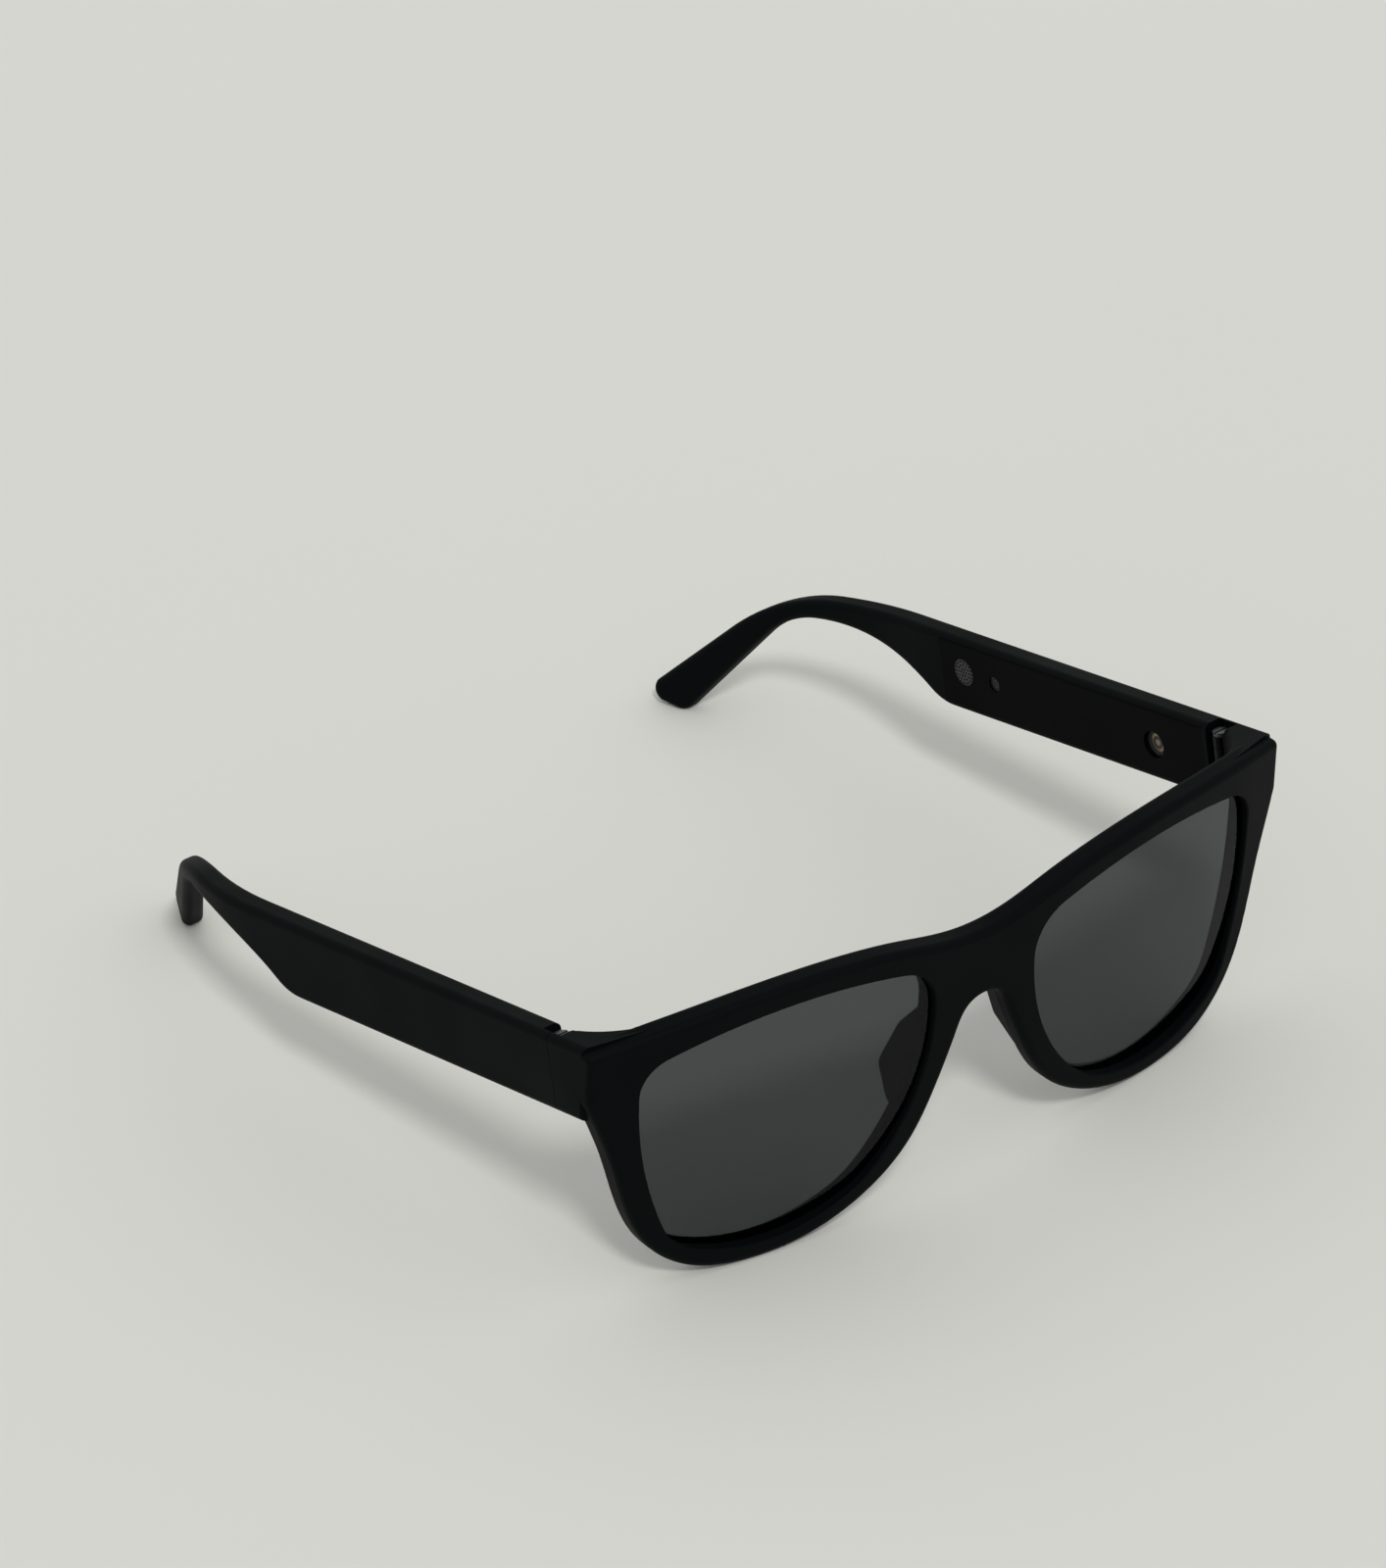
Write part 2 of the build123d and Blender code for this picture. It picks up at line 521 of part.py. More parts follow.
def battery():
    """The pouch cell, rounded along its long edges."""
    cell = box_between(CAVITY_X0 + CELL_GAP, CAVITY_X1 - FLEX_T, CELL_Y0, CELL_Y1, CELL_Z0, CELL_Z1)
    return fillet(cell.edges().filter_by(Axis.Y), CELL_EDGE_R).solid()


def flex_lead():
    """The flat lead along the outer wall that joins the contacts, board, cell and speaker."""
    return box_between(CAVITY_X1 - FLEX_T, CAVITY_X1, FLEX_Y0, FLEX_Y1, FLEX_Z0, FLEX_Z1).solid()


def aerial():
    """The radio aerial strip on the outer wall, above the cell."""
    return box_between(CAVITY_X1 - FLEX_T, CAVITY_X1, AERIAL_Y0, AERIAL_Y1, AERIAL_Z0, AERIAL_Z1).solid()


def microphone():
    """The microphone can behind its port."""
    return box_between(CAVITY_X0, CAVITY_X0 + MIC_T, PORT_Y - MIC_HALF, PORT_Y + MIC_HALF,
                       PORT_Z - MIC_HALF, PORT_Z + MIC_HALF).solid()


def speaker():
    """The speaker: a wide rim and a narrower magnet behind it."""
    x0 = CAVITY_X0 + GASKET_T
    rim = disc_x(SPEAKER_Y, SPEAKER_Z, DRIVER_R, x0, x0 + DRIVER_RIM_T)
    return (rim + disc_x(SPEAKER_Y, SPEAKER_Z, DRIVER_BACK_R, x0 + DRIVER_RIM_T, CAVITY_X1 - FLEX_T)).solid()


def speaker_gasket():
    """The foam ring that seals the speaker to the cover."""
    x0, x1 = CAVITY_X0, CAVITY_X0 + GASKET_T
    outer = disc_x(SPEAKER_Y, SPEAKER_Z, GASKET_OUT_R, x0, x1)
    return (outer - disc_x(SPEAKER_Y, SPEAKER_Z, GASKET_IN_R, x0, x1)).solid()


def light_pipe():
    """The clear rod that brings the board's light out under the temple."""
    return disc_z(MID_X, PIPE_Y, PIPE_R, -TEMPLE_H, BOARD_Z0).solid()


# ---------------------------------------------------------------- button, in the right temple only
def power_button():
    """The button under the temple: a round-ended cap and the flange that keeps it in."""
    rest = CAVITY_Z0 + BUTTON_CLEAR
    cap = stadium_z(MID_X, BUTTON_Y, BUTTON_L, BUTTON_W, -TEMPLE_H - BUTTON_PROUD, rest)
    return (cap + stadium_z(MID_X, BUTTON_Y, FLANGE_L, FLANGE_W, rest, rest + FLANGE_T)).solid()


def switch_plunger():
    """The pin between the button and the switch."""
    return disc_z(MID_X, BUTTON_Y, PLUNGER_R, CAVITY_Z0 + BUTTON_CLEAR + FLANGE_T, PLUNGER_TOP).solid()


def tact_switch():
    """The switch under the board, with the bore that the plunger moves in."""
    half_w, half_l = SWITCH_W / 2, SWITCH_L / 2
    y0, y1 = BUTTON_Y - half_l, BUTTON_Y + half_l
    case = box_between(MID_X - half_w, MID_X + half_w, y0, y1, SWITCH_Z0, BOARD_Z0)
    bore = disc_z(MID_X, BUTTON_Y, PLUNGER_R + PLUNGER_CLEAR, SWITCH_Z0 - 1, SWITCH_BORE_TOP)
    return (case - bore).solid()


# ---------------------------------------------------------------- assembly
def build_nodes():
    """Every node of the glasses in the stand frame."""
    frame = front_frame()
    blank = temple_blank()
    on_front = {"lens": FRONT_PLACE * lens(), "nose_pad": nose_pad()}
    on_temple = {
        "hinge_front_leaf": front_leaf(), "hinge_temple_leaf": temple_leaf(), "hinge_screw": hinge_screw(),
        "leaf_screws": leaf_screws(), "temple_cover": temple_cover(blank), "ear_core": ear_core(),
        "speaker_grille": speaker_grille(), "speaker": speaker(), "speaker_gasket": speaker_gasket(),
        "mic_mesh": mic_mesh(), "microphone": microphone(), "charge_carrier": charge_carrier(),
        "charge_pins": charge_pins(), "charge_magnet": charge_magnet(), "circuit_board": circuit_board(),
        "battery": battery(), "flex_lead": flex_lead(), "aerial": aerial(), "light_pipe": light_pipe(),
    }
    left = dict(on_front)
    for name, piece in on_temple.items():
        left[name] = TEMPLE_PLACE * piece
    nodes = {"front_frame": frame}
    for name, piece in left.items():
        nodes[name + "_left"] = piece
        nodes[name + "_right"] = mirror(piece, about=Plane.YZ)
    nodes["temple_shell_left"] = TEMPLE_PLACE * temple_shell(blank, False)
    right_only = {
        "temple_shell_right": temple_shell(blank, True), "power_button": power_button(),
        "switch_plunger": switch_plunger(), "tact_switch": tact_switch(),
    }
    for name, piece in right_only.items():
        nodes[name] = mirror(TEMPLE_PLACE * piece, about=Plane.YZ)
    return nodes


def row_shift(nodes):
    """The move that puts the origin at the bottom centre of the whole object's box."""
    boxes = [piece.bounding_box() for piece in nodes.values()]
    y_mid = (min(box.min.Y for box in boxes) + max(box.max.Y for box in boxes)) / 2
    return Pos(0, -y_mid, -min(box.min.Z for box in boxes))


def report(shift):
    """Print the places and directions that the joints and mounts need, in the row frame."""
    place = shift * TEMPLE_PLACE
    points = {
        "hinge": (0, 0, (KNUCKLE_TOP + KNUCKLE_LOW) / 2), "hinge top": (0, 0, 0),
        "socket": (INNER_X, SOCKET_Y, SOCKET_Z), "button": (MID_X, BUTTON_Y, -TEMPLE_H),
    }
    print("pitch", round(PITCH, 4), "shift", shift.position)
    for name, point in points.items():
        print(name, (place * Pos(*point)).position)


if __name__ == "__main__":
    os.makedirs("parts", exist_ok=True)
    all_nodes = build_nodes()
    to_row = row_shift(all_nodes)
    for node, piece in all_nodes.items():
        export_step(to_row * piece, f"parts/{node}.step")
    report(to_row)
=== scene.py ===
import bmesh
import bpy
import json
import math
import numpy as np
from mathutils import Matrix, Vector


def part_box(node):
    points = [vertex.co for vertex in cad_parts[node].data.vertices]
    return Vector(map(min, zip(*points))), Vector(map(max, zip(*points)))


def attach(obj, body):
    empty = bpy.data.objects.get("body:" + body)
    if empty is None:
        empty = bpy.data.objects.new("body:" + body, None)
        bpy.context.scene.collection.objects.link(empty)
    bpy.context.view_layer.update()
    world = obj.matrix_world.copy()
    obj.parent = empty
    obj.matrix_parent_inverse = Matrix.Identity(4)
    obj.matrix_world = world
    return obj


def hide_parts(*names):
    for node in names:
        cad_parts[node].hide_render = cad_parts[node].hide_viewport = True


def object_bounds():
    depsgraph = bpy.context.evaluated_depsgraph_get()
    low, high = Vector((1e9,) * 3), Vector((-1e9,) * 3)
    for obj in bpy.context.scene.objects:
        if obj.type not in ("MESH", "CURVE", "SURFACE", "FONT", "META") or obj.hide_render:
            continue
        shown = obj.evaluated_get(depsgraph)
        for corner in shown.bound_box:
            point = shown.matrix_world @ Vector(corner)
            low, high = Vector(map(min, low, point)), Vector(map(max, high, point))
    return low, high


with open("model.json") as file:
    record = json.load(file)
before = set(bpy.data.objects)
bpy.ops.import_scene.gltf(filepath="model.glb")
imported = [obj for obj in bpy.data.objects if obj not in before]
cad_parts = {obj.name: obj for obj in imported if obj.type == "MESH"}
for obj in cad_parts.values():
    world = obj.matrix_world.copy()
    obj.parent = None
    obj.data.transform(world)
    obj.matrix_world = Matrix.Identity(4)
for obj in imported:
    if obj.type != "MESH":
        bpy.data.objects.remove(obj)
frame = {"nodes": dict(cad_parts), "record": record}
cad_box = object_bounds()

# ---------------------------------------------------------------- driving values (metres, degrees)
MM = 0.001
CAMERA_AZIMUTH = -39.81        # the camera stands in front of the wearer's right lens
CAMERA_ELEVATION = 32.46
CAMERA_ROLL = 0.16
CAMERA_DISTANCE = 1.099
CAMERA_TARGET = (-0.1259, -0.1504, 0.1633)
CAMERA_REACH = 50.0            # nothing farther away than this is drawn
SENSOR_SIZE = 36.0             # millimetres, of the picture's longer side
FOCAL_LENGTH = 187.3           # millimetres
FLOOR_SIZE = 60.0
FLOOR_COLOUR = (0.72, 0.72, 0.6876)
KEY_AZIMUTH = -29.0            # the main light is above the camera and a little to its right
KEY_ELEVATION = 50.0
KEY_SOFTNESS = 9.0
KEY_STRENGTH = 1.1
KEY_COLOUR = (1.0, 1.0, 0.98)
WORLD_STRENGTH = 0.66
WORLD_COLOUR = (1.0, 1.0, 0.985)

NOISE_LOW = 0.3                # nearly all of a noise node's values lie between these two
NOISE_HIGH = 0.7
BUMP_STRENGTH = 0.5
ROUGH_SPREAD = 0.08            # how far a surface's roughness strays to either side
BLACK = (0.0014, 0.0021, 0.0026)
LENS_IOR = 1.5

EDGE_ROUND = 0.35 * MM         # rounding of the lens openings' edges
EDGE_STEPS = 4
SHARP_ANGLE = 50.0             # faces that meet at more than this form a sharp edge
WELD = 0.001 * MM              # vertices closer than this are one
OPENING_MARGIN = Vector((1 * MM, 4 * MM, 1 * MM))  # room round a lens's box for its opening's edges
OPENING_LENGTH = 100 * MM      # a run of sharp edges longer than this goes round an opening
FACE_TURN = 0.6                # a lens's front or back face has a normal with more than this along Y


# ---------------------------------------------------------------- camera, lights and stage
def direction(azimuth, elevation):
    """The unit vector towards a place seen at azimuth (0 is in front of the object) and elevation."""
    turn = math.radians(azimuth)
    rise = math.radians(elevation)
    return Vector((math.sin(turn) * math.cos(rise), -math.cos(turn) * math.cos(rise), math.sin(rise)))


def make_camera():
    """The camera, placed by its azimuth, elevation, roll and distance from a target point."""
    back = direction(CAMERA_AZIMUTH, CAMERA_ELEVATION)
    right = (-back).cross(Vector((0, 0, 1))).normalized()
    up = back.cross(right)
    roll = math.radians(CAMERA_ROLL)
    rolled_right = right * math.cos(roll) + up * math.sin(roll)
    rolled_up = up * math.cos(roll) - right * math.sin(roll)
    data = bpy.data.cameras.new("camera")
    data.lens = FOCAL_LENGTH
    data.sensor_fit = "AUTO"
    data.sensor_width = SENSOR_SIZE
    data.clip_end = CAMERA_REACH
    camera = bpy.data.objects.new("camera", data)
    turn = Matrix((rolled_right, rolled_up, back)).transposed()
    place = Vector(CAMERA_TARGET) + back * CAMERA_DISTANCE
    camera.matrix_world = Matrix.Translation(place) @ turn.to_4x4()
    bpy.context.scene.collection.objects.link(camera)
    bpy.context.scene.camera = camera


def make_key():
    """The main light: a distant lamp that looks a few degrees wide, so its shadows are soft."""
    towards = direction(KEY_AZIMUTH, KEY_ELEVATION)
    data = bpy.data.lights.new("key", "SUN")
    data.angle = math.radians(KEY_SOFTNESS)
    data.energy = KEY_STRENGTH
    data.color = KEY_COLOUR
    light = bpy.data.objects.new("key", data)
    light.location = towards
    light.rotation_euler = (-towards).to_track_quat("-Z", "Y").to_euler()
    bpy.context.scene.collection.objects.link(light)


def make_world():
    """An even pale surround, which lights the object softly from all sides."""
    world = bpy.data.worlds.new("studio")
    world.use_nodes = True
    background = world.node_tree.nodes["Background"]
    background.inputs["Color"].default_value = (*WORLD_COLOUR, 1)
    background.inputs["Strength"].default_value = WORLD_STRENGTH
    bpy.context.scene.world = world


def make_floor(material):
    """A plain floor under the object."""
    half = FLOOR_SIZE / 2
    corners = [(-half, -half, 0), (half, -half, 0), (half, half, 0), (-half, half, 0)]
    mesh = bpy.data.meshes.new("floor")
    mesh.from_pydata(corners, [], [(0, 1, 2, 3)])
    mesh.materials.append(material)
    floor = bpy.data.objects.new("floor", mesh)
    floor.location.z = cad_box[0][2]
    bpy.context.scene.collection.objects.link(floor)


# ---------------------------------------------------------------- shader building blocks
def new_material(name):
    """A node material, its node tree and its Principled shader."""
    material = bpy.data.materials.new(name)
    material.use_nodes = True
    tree = material.node_tree
    return material, tree, tree.nodes["Principled BSDF"]


def add(tree, kind, links=(), **settings):
    """Adds a node, sets its inputs or properties by name and links (input name, output socket) pairs."""
    node = tree.nodes.new(kind)
    for name, value in settings.items():
        if name in node.inputs:
            node.inputs[name].default_value = value
        else:
            setattr(node, name, value)
    for name, socket in links:
        tree.links.new(socket, node.inputs[name])
    return node


def object_space(tree):
    """The object's own coordinates in metres, which stay fixed to the piece when it moves."""
    return add(tree, "ShaderNodeTexCoord").outputs["Object"]


def noise(tree, size, detail=3.0):
    """Noise whose largest features are about size metres across."""
    node = add(tree, "ShaderNodeTexNoise", [("Vector", object_space(tree))], Scale=1 / size,
               Detail=detail, Roughness=0.6)
    return node.outputs["Fac"]


def cells(tree, size, **settings):
    """A pattern of cells about size metres across, which gives the distance to their centres or edges."""
    node = add(tree, "ShaderNodeTexVoronoi", [("Vector", object_space(tree))], Scale=1 / size, **settings)
    return node.outputs["Distance"]


def product(tree, first, second):
    """The product of two values."""
    node = add(tree, "ShaderNodeMath", operation="MULTIPLY")
    tree.links.new(first, node.inputs[0])
    tree.links.new(second, node.inputs[1])
    return node.outputs[0]


def blend_colours(tree, factor, low, high):
    """A colour between low and high by factor."""
    node = add(tree, "ShaderNodeMix", [("Factor", factor)], data_type="RGBA")
    node.inputs["A"].default_value = (*low, 1)
    node.inputs["B"].default_value = (*high, 1)
    return node.outputs["Result"]


def between(tree, factor, low, high):
    """Spreads a noise value over the range from low to high."""
    node = add(tree, "ShaderNodeMapRange", [("Value", factor)])
    node.inputs["From Min"].default_value = NOISE_LOW
    node.inputs["From Max"].default_value = NOISE_HIGH
    node.inputs["To Min"].default_value = low
    node.inputs["To Max"].default_value = high
    return node.outputs["Result"]


def colour_by(tree, shader, factor, low, high):
    """Colours the surface between low and high by factor."""
    tree.links.new(blend_colours(tree, factor, low, high), shader.inputs["Base Color"])


def shade_by(tree, shader, factor, colour, darkest, lightest):
    """Colours the surface from darkest to lightest times a colour by factor."""
    low = [value * darkest for value in colour]
    high = [min(1.0, value * lightest) for value in colour]
    colour_by(tree, shader, factor, low, high)


def roughen_by(tree, shader, factor, low, high):
    """Makes the surface's roughness stray from low to high with a noise value."""
    tree.links.new(between(tree, factor, low, high), shader.inputs["Roughness"])


def bump(tree, shader, height, depth):
    """Raises the surface by up to depth metres where height is 1."""
    node = add(tree, "ShaderNodeBump", [("Height", height)], Strength=BUMP_STRENGTH, Distance=depth)
    tree.links.new(node.outputs["Normal"], shader.inputs["Normal"])


# ---------------------------------------------------------------- materials, one for each slot of the record
def stage_floor():
    """The floor: matt pale board with faint broad clouds and a fine grain."""
    material, tree, shader = new_material("stage_floor")
    clouds = noise(tree, 300 * MM, detail=4.0)
    shade_by(tree, shader, clouds, FLOOR_COLOUR, 0.99, 1.01)
    roughen_by(tree, shader, clouds, 0.74, 0.86)
    bump(tree, shader, noise(tree, 4 * MM), 0.02 * MM)
    return material


def moulded(name, colour, roughness, specular, depth=0.03 * MM):
    """Matt moulded plastic: an even spark-eroded grain, soft clouds, and a slightly worn sheen in patches."""
    material, tree, shader = new_material(name)
    shade_by(tree, shader, noise(tree, 12 * MM, detail=4.0), colour, 0.8, 1.25)
    handled = noise(tree, 30 * MM, detail=2.0)
    roughen_by(tree, shader, handled, roughness - ROUGH_SPREAD, roughness + ROUGH_SPREAD)
    shader.inputs["Specular IOR Level"].default_value = specular
    bump(tree, shader, product(tree, cells(tree, 0.22 * MM), noise(tree, 0.5 * MM)), depth)
    return material


def metal(name, colour, roughness, depth=0.003 * MM, spread=0.12):
    """Drawn or turned metal: fine streaks along the object's height, with slight stains."""
    material, tree, shader = new_material(name)
    stretch = add(tree, "ShaderNodeMapping", [("Vector", object_space(tree))], Scale=(1.0, 1.0, 0.08))
    streaks = add(tree, "ShaderNodeTexNoise", [("Vector", stretch.outputs["Vector"])],
                  Scale=1 / (0.15 * MM), Detail=3.0)
    shade_by(tree, shader, noise(tree, 1.5 * MM), colour, 1 - spread, 1 + spread)
    roughen_by(tree, shader, streaks.outputs["Fac"], roughness - ROUGH_SPREAD, roughness + ROUGH_SPREAD)
    shader.inputs["Metallic"].default_value = 1.0
    bump(tree, shader, streaks.outputs["Fac"], depth)
    return material


def smoke_lens():
    """Tinted polished plastic: what is behind shows darker through it, and its outer faces mirror."""
    material, tree, shader = new_material("lens_smoke")
    tree.nodes.remove(shader)
    tint = blend_colours(tree, noise(tree, 25 * MM), (0.305, 0.314, 0.322), (0.325, 0.334, 0.342))
    through = add(tree, "ShaderNodeBsdfTransparent", [("Color", tint)])
    polish = between(tree, noise(tree, 8 * MM), 0.05, 0.08)
    gloss = add(tree, "ShaderNodeBsdfAnisotropic", [("Roughness", polish)], Color=(0.3, 0.31, 0.32, 1))
    outside = add(tree, "ShaderNodeMath", operation="SUBTRACT")
    outside.inputs[0].default_value = 1.0
    tree.links.new(add(tree, "ShaderNodeNewGeometry").outputs["Backfacing"], outside.inputs[1])
    fresnel = add(tree, "ShaderNodeFresnel", IOR=LENS_IOR)
    mirrored = product(tree, fresnel.outputs["Fac"], outside.outputs[0])
    mix = add(tree, "ShaderNodeMixShader", [("Fac", mirrored)])
    tree.links.new(through.outputs["BSDF"], mix.inputs[1])
    tree.links.new(gloss.outputs["BSDF"], mix.inputs[2])
    tree.links.new(mix.outputs["Shader"], tree.nodes["Material Output"].inputs["Surface"])
    return material


def foam():
    """Open-cell black foam: small pits, with painted shade that darkens each pit towards its bottom so that
    its rim shows lighter.
    """
    material, tree, shader = new_material("gasket_foam")
    pits_and_painted_shade = cells(tree, 0.25 * MM)
    # painted shade: the colour runs from near black at each pit's bottom to lighter at its rim, following the
    # bump's depth
    colour_by(tree, shader, pits_and_painted_shade, (0.008, 0.008, 0.008), (0.05, 0.05, 0.052))
    roughen_by(tree, shader, noise(tree, 1 * MM), 0.85, 0.98)
    bump(tree, shader, pits_and_painted_shade, 0.08 * MM)
    return material


def board():
    """Dark green solder mask with lighter copper runs showing through."""
    material, tree, shader = new_material("board_resin")
    runs = add(tree, "ShaderNodeTexBrick", [("Vector", object_space(tree))], Scale=1 / (1.6 * MM))
    runs.inputs["Color1"].default_value = (0.010, 0.045, 0.022, 1)
    runs.inputs["Color2"].default_value = (0.014, 0.060, 0.030, 1)
    runs.inputs["Mortar"].default_value = (0.045, 0.120, 0.060, 1)
    runs.inputs["Mortar Size"].default_value = 0.06
    tree.links.new(runs.outputs["Color"], shader.inputs["Base Color"])
    roughen_by(tree, shader, noise(tree, 1 * MM), 0.25, 0.4)
    bump(tree, shader, runs.outputs["Fac"], 0.02 * MM)
    return material


def cell_foil():
    """The cell's pouch: silvery laminate with shallow creases."""
    material, tree, shader = new_material("cell_foil")
    colour_by(tree, shader, noise(tree, 3 * MM), (0.42, 0.43, 0.44), (0.55, 0.56, 0.57))
    roughen_by(tree, shader, noise(tree, 0.6 * MM), 0.28, 0.45)
    shader.inputs["Metallic"].default_value = 0.9
    bump(tree, shader, cells(tree, 2.5 * MM, feature="DISTANCE_TO_EDGE"), 0.05 * MM)
    return material


def flex_film():
    """Amber film with copper runs in bands."""
    material, tree, shader = new_material("flex_film")
    stripes = add(tree, "ShaderNodeTexWave", [("Vector", object_space(tree))], Scale=1 / (5 * MM),
                  Distortion=0.4, bands_direction="Z")
    colour_by(tree, shader, stripes.outputs["Fac"], (0.28, 0.11, 0.02), (0.48, 0.21, 0.07))
    roughen_by(tree, shader, noise(tree, 1 * MM), 0.25, 0.4)
    bump(tree, shader, stripes.outputs["Fac"], 0.02 * MM)
    return material


def clear_plastic():
    """The light pipe: frosted clear plastic."""
    material, tree, shader = new_material("clear_plastic")
    colour_by(tree, shader, noise(tree, 0.8 * MM), (0.72, 0.74, 0.75), (0.85, 0.86, 0.87))
    roughen_by(tree, shader, noise(tree, 0.3 * MM), 0.25, 0.4)
    shader.inputs["Transmission Weight"].default_value = 0.6
    bump(tree, shader, noise(tree, 0.2 * MM), 0.005 * MM)
    return material


slot_materials = {
    "frame_plastic": moulded("frame_plastic", BLACK, 0.56, 0.042),
    "cover_plastic": moulded("cover_plastic", (0.0008, 0.0010, 0.0013), 0.50, 0.03),
    "button_plastic": moulded("button_plastic", (0.0060, 0.0066, 0.0072), 0.42, 0.10),
    "switch_plastic": moulded("switch_plastic", (0.020, 0.020, 0.021), 0.45, 0.30),
    "carrier_plastic": moulded("carrier_plastic", (0.030, 0.031, 0.032), 0.45, 0.30),
    "pad_rubber": moulded("pad_rubber", (0.0040, 0.0048, 0.0056), 0.60, 0.05, depth=0.004 * MM),
    "lens_smoke": smoke_lens(),
    "hinge_steel": metal("hinge_steel", (0.008, 0.008, 0.009), 0.45, depth=0.001 * MM),
    "screw_steel": metal("screw_steel", (0.12, 0.12, 0.125), 0.36, depth=0.0005 * MM),
    "core_steel": metal("core_steel", (0.48, 0.48, 0.49), 0.34),
    "grille_metal": metal("grille_metal", (0.055, 0.057, 0.060), 0.45, spread=0.3),
    "speaker_metal": metal("speaker_metal", (0.40, 0.40, 0.41), 0.35),
    "can_metal": metal("can_metal", (0.52, 0.50, 0.45), 0.33),
    "contact_gold": metal("contact_gold", (0.22, 0.18, 0.12), 0.32, depth=0.001 * MM),
    "magnet_nickel": metal("magnet_nickel", (0.56, 0.54, 0.50), 0.24, depth=0.001 * MM),
    "gasket_foam": foam(),
    "board_resin": board(),
    "cell_foil": cell_foil(),
    "flex_film": flex_film(),
    "clear_plastic": clear_plastic(),
}


def finish_nodes():
    """Gives every CAD node the material of its slot in the record."""
    for part in frame["record"]["subparts"]:
        node = frame["nodes"][part["node"]]
        for holder in node.material_slots:
            holder.material = slot_materials[part["material_slot"]]


# ---------------------------------------------------------------- pieces that replace a CAD node's surface
def copied_mesh(node_name):
    """The node's surface as an editable mesh, welded, and the layer that keeps each corner's normal."""
    mesh = frame["nodes"][node_name].data.copy()
    normals = [tuple(corner.vector) for corner in mesh.corner_normals]
    work = bmesh.new()
    work.from_mesh(mesh)
    kept = work.loops.layers.float_vector.new("kept_normal")
    for face in work.faces:
        for corner in face.loops:
            corner[kept] = Vector(normals[corner.index])
    bpy.data.meshes.remove(mesh)
    bmesh.ops.remove_doubles(work, verts=work.verts, dist=WELD)
    return work, kept


def add_piece(name, work, kept, node_name, slot, body):
    """Makes an object of the edited surface that stands for the node and moves with its body."""
    corner_normals = [tuple(corner[kept]) for face in work.faces for corner in face.loops]
    mesh = bpy.data.meshes.new(name)
    work.to_mesh(mesh)
    work.free()
    mesh.polygons.foreach_set("use_smooth", [True] * len(mesh.polygons))
    if "custom_normal" in mesh.attributes:
        mesh.attributes.remove(mesh.attributes["custom_normal"])
    mesh.attributes.remove(mesh.attributes["kept_normal"])
    mesh.normals_split_custom_set(corner_normals)
    mesh.materials.clear()
    mesh.materials.append(slot_materials[slot])
    piece = bpy.data.objects.new(name, mesh)
    bpy.context.scene.collection.objects.link(piece)
    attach(piece, body)
    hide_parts(node_name)


def sharp_loops(work, low, high):
    """The connected runs of sharp edges inside the box from low to high, each in the mesh's order."""
    limit = math.radians(SHARP_ANGLE)
    work.edges.index_update()

    def inside(vertex):
        return all(low[axis] < vertex.co[axis] < high[axis] for axis in range(3))

    def is_sharp(edge):
        return len(edge.link_faces) == 2 and edge.calc_face_angle() > limit and all(map(inside, edge.verts))

    sharp = [edge for edge in work.edges if is_sharp(edge)]
    left = set(sharp)
    loops = []
    for seed in sharp:
        if seed not in left:
            continue
        loop = set()
        front = {seed}
        while front:
            left -= front
            loop |= front
            ends = {vertex for edge in front for vertex in edge.verts}
            front = {edge for vertex in ends for edge in vertex.link_edges} & left
        loops.append(sorted(loop, key=lambda edge: edge.index))
    return loops


def mean_depth(loop):
    """The mean Y of a run of edges."""
    return sum(edge.verts[0].co.y + edge.verts[1].co.y for edge in loop) / (2 * len(loop))


def corner_normal(face, vertex, kept):
    """The kept normal of a face's corner at a vertex."""
    return next(corner[kept] for corner in face.loops if corner.vert is vertex)


def edge_sections(loop, kept, radius, steps):
    """For each place along a sharp loop: the points and normals of an arc that rounds the edge there."""
    sides = {}
    for edge in loop:
        flat, wall = sorted(edge.link_faces, key=lambda face: -abs(face.normal.y))
        for vertex in edge.verts:
            ups, outs = sides.setdefault(tuple(vertex.co), ([], []))
            ups.append(corner_normal(flat, vertex, kept))
            outs.append(corner_normal(wall, vertex, kept))
    sections = {}
    for place, (ups, outs) in sides.items():
        up = sum(ups, Vector()).normalized()
        out = sum(outs, Vector()).normalized()
        centre = Vector(place) - (up + out) * radius / (1 + up.dot(out))
        normals = [up.slerp(out, step / steps) for step in range(steps + 1)]
        sections[place] = [(centre + normal * radius, normal) for normal in normals]
    return sections


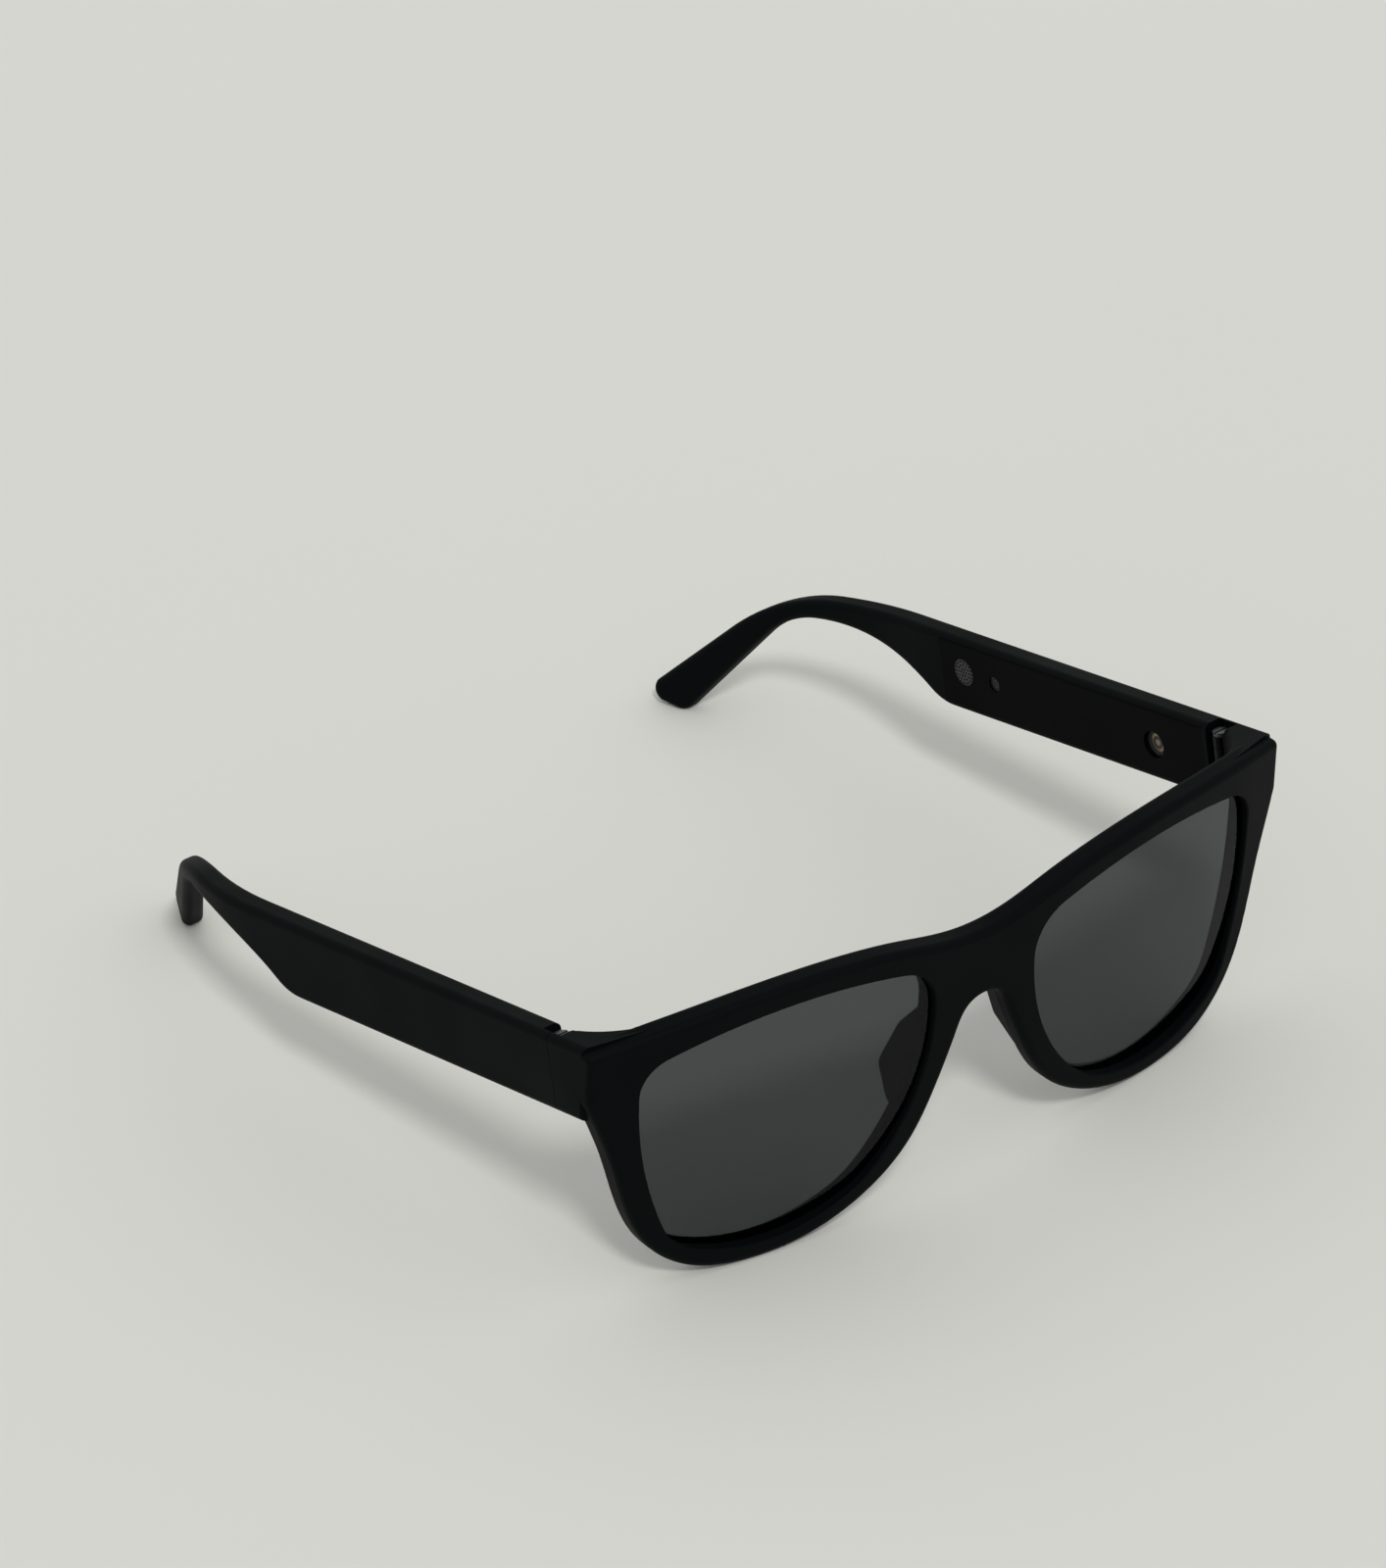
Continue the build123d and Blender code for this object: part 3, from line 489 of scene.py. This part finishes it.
def round_edge(work, kept, loop, radius, steps):
    """Turns a sharp loop between a face that looks along Y and a wall into a rounded strip."""
    sections = edge_sections(loop, kept, radius, steps)
    spans = [(tuple(edge.verts[0].co), tuple(edge.verts[1].co)) for edge in loop]
    split = bmesh.ops.split_edges(work, edges=loop)["edges"]
    for vertex in {vertex for edge in split for vertex in edge.verts}:
        section = sections.get(tuple(vertex.co))
        if section is None:
            continue
        normal = corner_normal(vertex.link_faces[0], vertex, kept)
        on_flat = normal.dot(section[0][1]) > normal.dot(section[-1][1])
        vertex.co = section[0][0] if on_flat else section[-1][0]
    arcs = {}
    for place, section in sections.items():
        arcs[place] = [(work.verts.new(point), normal) for point, normal in section]
    for start, end in spans:
        for step in range(steps):
            ring = [arcs[start][step], arcs[start][step + 1], arcs[end][step + 1], arcs[end][step]]
            face = work.faces.new([vertex for vertex, normal in ring])
            face.normal_update()
            if face.normal.dot(ring[0][1]) < 0:
                face.normal_flip()
            wanted = dict(ring)
            for corner in face.loops:
                corner[kept] = wanted[corner.vert]


def soft_front():
    """The front moulding with the edges of both lens openings rounded, in front and behind."""
    work, kept = copied_mesh("front_frame")
    for side in ("left", "right"):
        low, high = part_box("lens_" + side)
        loops = sharp_loops(work, Vector(low) - OPENING_MARGIN, Vector(high) + OPENING_MARGIN)
        around = [loop for loop in loops if sum(edge.calc_length() for edge in loop) > OPENING_LENGTH]
        around.sort(key=mean_depth)
        for loop in (around[0], around[-1]):
            round_edge(work, kept, loop, EDGE_ROUND, EDGE_STEPS)
    bmesh.ops.remove_doubles(work, verts=work.verts, dist=WELD)
    add_piece("front_moulding", work, kept, "front_frame", "frame_plastic", "front")


def fitted_normal(points):
    """A function that gives the smooth normal, looking along +Y, of a wrapped face through the points."""
    rows = [(1.0, point.z, point.z ** 2, point.x ** 2, point.x ** 4) for point in points]
    depths = [point.y for point in points]
    terms = np.linalg.lstsq(np.array(rows), np.array(depths), rcond=None)[0]

    def normal(point):
        across = 2 * terms[3] * point.x + 4 * terms[4] * point.x ** 3
        up = terms[1] + 2 * terms[2] * point.z
        return Vector((-across, 1.0, -up)).normalized()

    return normal


def polished_lens(side):
    """A lens whose two faces carry the exact normals of their wrapped surfaces, so that it mirrors evenly."""
    name = "lens_" + side
    work, kept = copied_mesh(name)
    for sign in (-1, 1):
        faces = [face for face in work.faces if face.normal.y * sign > FACE_TURN]
        normal = fitted_normal([vertex.co for face in faces for vertex in face.verts])
        for face in faces:
            for corner in face.loops:
                corner[kept] = normal(corner.vert.co) * sign
    add_piece("polished_" + name, work, kept, name, "lens_smoke", "front")


# ---------------------------------------------------------------- the scene
bpy.context.scene.view_settings.view_transform = "Standard"
make_camera()
finish_nodes()
soft_front()
for side in ("left", "right"):
    polished_lens(side)
make_world()
make_key()
make_floor(stage_floor())
